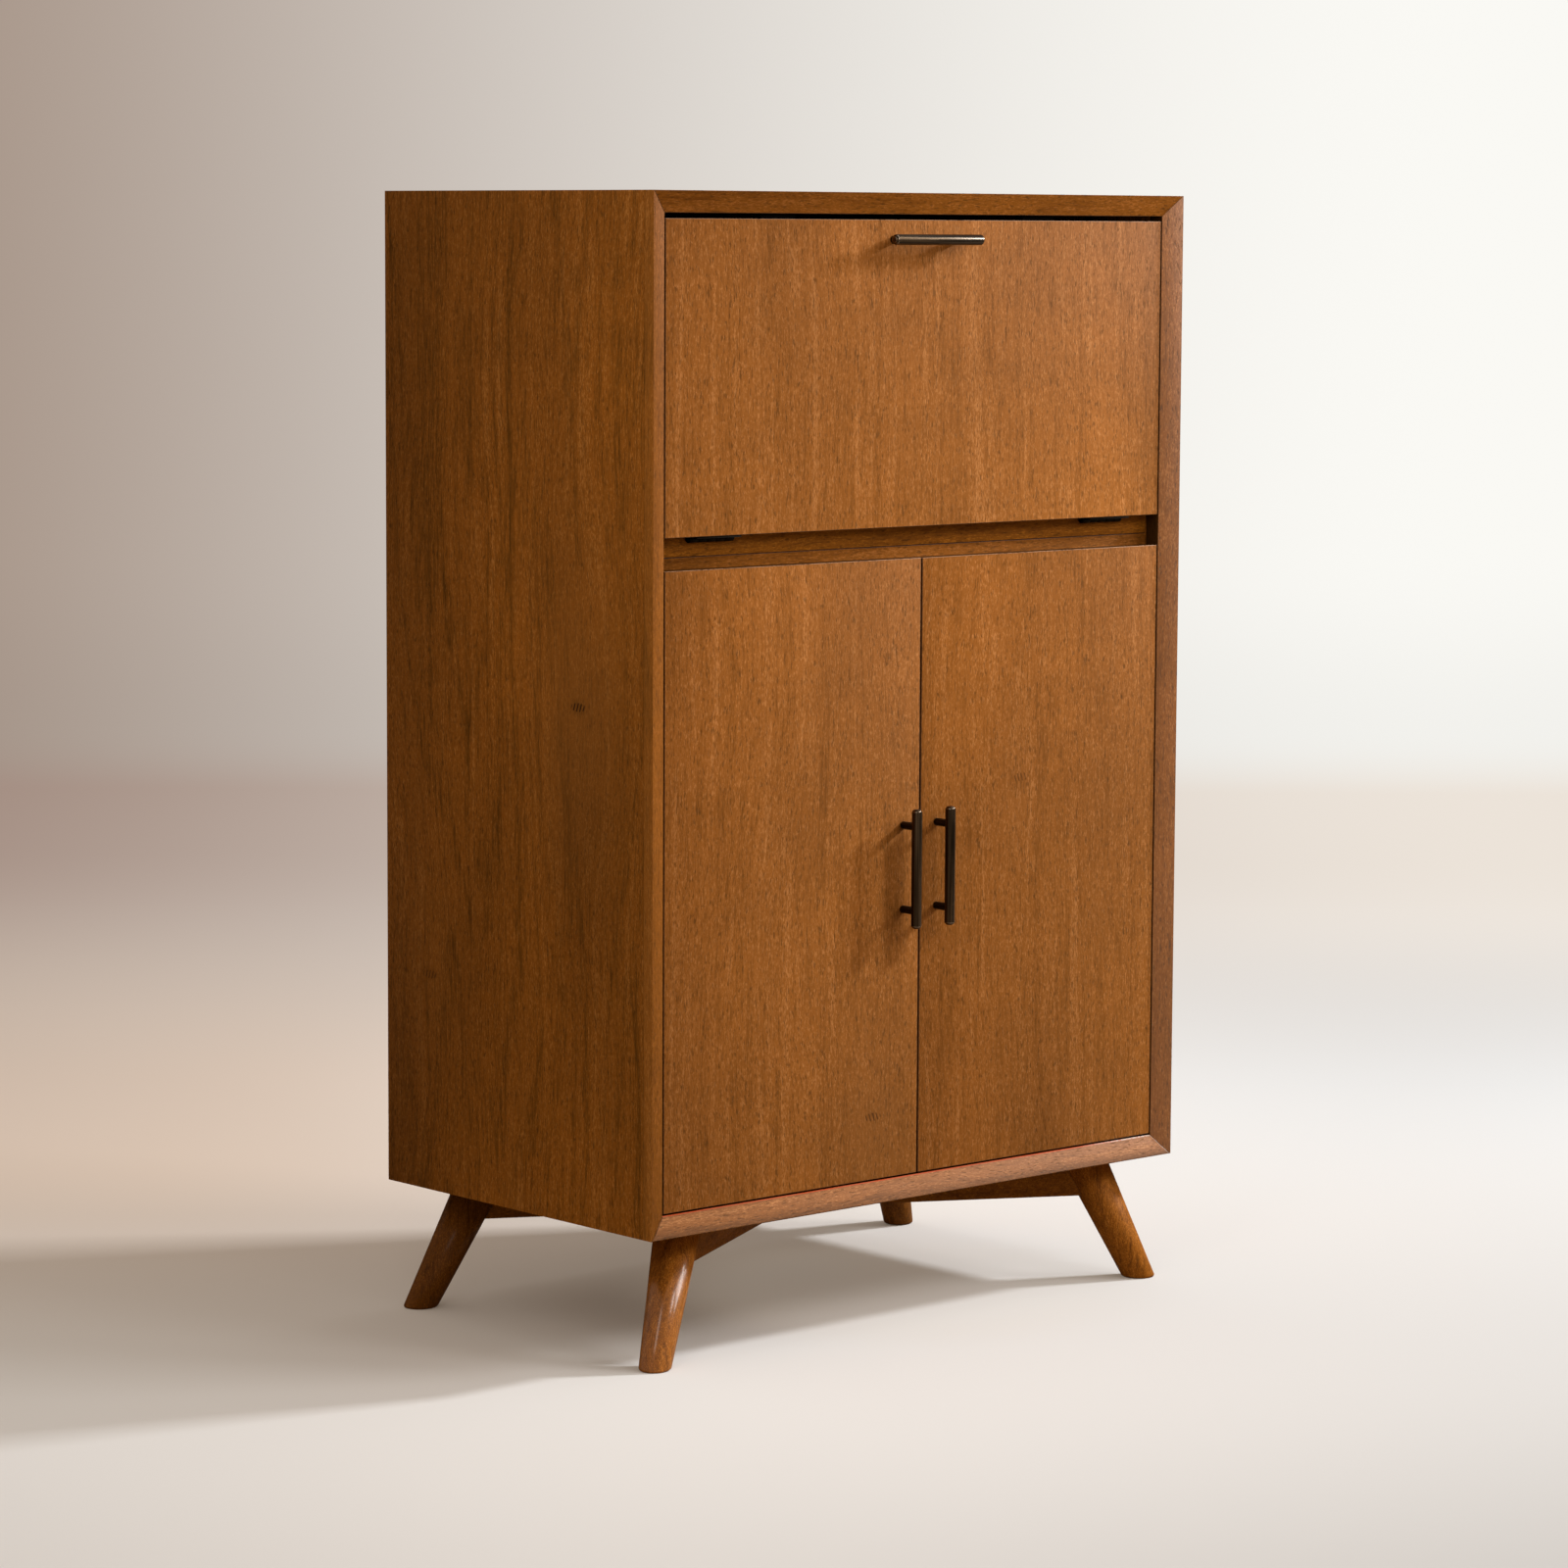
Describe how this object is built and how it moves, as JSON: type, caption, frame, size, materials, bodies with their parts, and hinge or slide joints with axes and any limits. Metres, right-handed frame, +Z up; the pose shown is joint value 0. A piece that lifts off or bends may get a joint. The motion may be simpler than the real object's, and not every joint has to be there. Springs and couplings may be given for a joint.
{
  "type": "bar cabinet",
  "caption": "Wooden bar cabinet on a splayed base, with a drop flap that folds out as a serving shelf over an open recess and a pair of inset doors.",
  "frame": {"origin": "on the floor, under the middle of the cabinet's overall width and depth, handles included", "axes": "+Z up, -Y towards the front with the flap and doors, +X to the right seen from the front"},
  "size_m": [0.813, 0.491, 1.289],
  "materials": {
    "front_veneer": "satin clear lacquer over warm brown veneer, grain upright",
    "case_veneer": "satin clear lacquer over warm brown veneer",
    "inside_veneer": "matt clear lacquer over warm brown veneer",
    "leg_wood": "semi gloss red brown stained solid wood",
    "dark_bronze": "dark bronze, satin",
    "plated_steel": "nickel plated, satin",
    "dark_plastic": "matt"
  },
  "bodies": {
    "case": {"side_panel_left": "case_veneer", "side_panel_right": "case_veneer", "top_panel": "case_veneer", "bottom_panel": "case_veneer", "back_board": "inside_veneer", "compartment_floor": "inside_veneer", "door_rail": "inside_veneer", "adjustable_shelf": "inside_veneer", "brace_front_left_to_rear_right": "leg_wood", "brace_front_right_to_rear_left": "leg_wood", "shelf_pin_left_front": "plated_steel", "shelf_pin_left_rear": "plated_steel", "leg_front_left": "leg_wood", "leg_rear_left": "leg_wood", "flap_hinge_left_fixed_leaf": "dark_bronze", "flap_hinge_left_pin": "dark_bronze", "flap_stay_left_housing": "dark_plastic", "flap_catch_left_magnet": "dark_plastic", "door_hinge_left_lower_arm": "plated_steel", "door_hinge_left_upper_arm": "plated_steel", "shelf_pin_right_front": "plated_steel", "shelf_pin_right_rear": "plated_steel", "leg_front_right": "leg_wood", "leg_rear_right": "leg_wood", "flap_hinge_right_fixed_leaf": "dark_bronze", "flap_hinge_right_pin": "dark_bronze", "flap_stay_right_housing": "dark_plastic", "flap_catch_right_magnet": "dark_plastic", "door_hinge_right_lower_arm": "plated_steel", "door_hinge_right_upper_arm": "plated_steel"},
    "flap": {"flap_panel": "front_veneer", "flap_handle_bar": "dark_bronze", "flap_handle_post_left": "dark_bronze", "flap_handle_post_right": "dark_bronze", "flap_hinge_left_moving_leaf": "dark_bronze", "flap_stay_left_bracket": "plated_steel", "flap_catch_left_striker": "plated_steel", "flap_hinge_right_moving_leaf": "dark_bronze", "flap_stay_right_bracket": "plated_steel", "flap_catch_right_striker": "plated_steel"},
    "stay_arm_left": {"flap_stay_left_arm": "plated_steel"},
    "stay_link_left": {"flap_stay_left_link": "plated_steel"},
    "door_left": {"door_left": "front_veneer", "door_handle_left_bar": "dark_bronze", "door_handle_left_post_lower": "dark_bronze", "door_handle_left_post_upper": "dark_bronze", "door_hinge_left_lower_cup": "plated_steel", "door_hinge_left_upper_cup": "plated_steel"},
    "stay_arm_right": {"flap_stay_right_arm": "plated_steel"},
    "stay_link_right": {"flap_stay_right_link": "plated_steel"},
    "door_right": {"door_right": "front_veneer", "door_handle_right_bar": "dark_bronze", "door_handle_right_post_lower": "dark_bronze", "door_handle_right_post_upper": "dark_bronze", "door_hinge_right_lower_cup": "plated_steel", "door_hinge_right_upper_cup": "plated_steel"}
  },
  "joints": [
    {"name": "flap_hinge", "type": "hinge", "parent": "case", "child": "flap", "pos_m": [0, -0.1997, 0.912], "axis": [1, 0, 0], "range_deg": [0, 90]},
    {"name": "stay_arm_left_pivot", "type": "hinge", "parent": "case", "child": "stay_arm_left", "pos_m": [-0.37, -0.007, 0.9984], "axis": [1, 0, 0], "range_deg": [0, 90]},
    {"name": "stay_link_left_pivot", "type": "hinge", "parent": "flap", "child": "stay_link_left", "pos_m": [-0.367, -0.1871, 1.1485], "axis": [1, 0, 0], "range_deg": [-90, 0]},
    {"name": "door_left_hinge", "type": "hinge", "parent": "case", "child": "door_left", "pos_m": [-0.3805, -0.2165, 0.528], "axis": [0, 0, -1], "range_deg": [0, 105]},
    {"name": "stay_arm_right_pivot", "type": "hinge", "parent": "case", "child": "stay_arm_right", "pos_m": [0.37, -0.007, 0.9984], "axis": [1, 0, 0], "range_deg": [0, 90]},
    {"name": "stay_link_right_pivot", "type": "hinge", "parent": "flap", "child": "stay_link_right", "pos_m": [0.367, -0.1871, 1.1485], "axis": [1, 0, 0], "range_deg": [-90, 0]},
    {"name": "door_right_hinge", "type": "hinge", "parent": "case", "child": "door_right", "pos_m": [0.3805, -0.2165, 0.528], "axis": [0, 0, 1], "range_deg": [0, 105]}
  ],
  "couplings": [
    {"joint": "stay_arm_left_pivot", "follows": "flap_hinge", "ratio": 1},
    {"joint": "stay_link_left_pivot", "follows": "flap_hinge", "ratio": -1},
    {"joint": "stay_arm_right_pivot", "follows": "flap_hinge", "ratio": 1},
    {"joint": "stay_link_right_pivot", "follows": "flap_hinge", "ratio": -1}
  ]
}
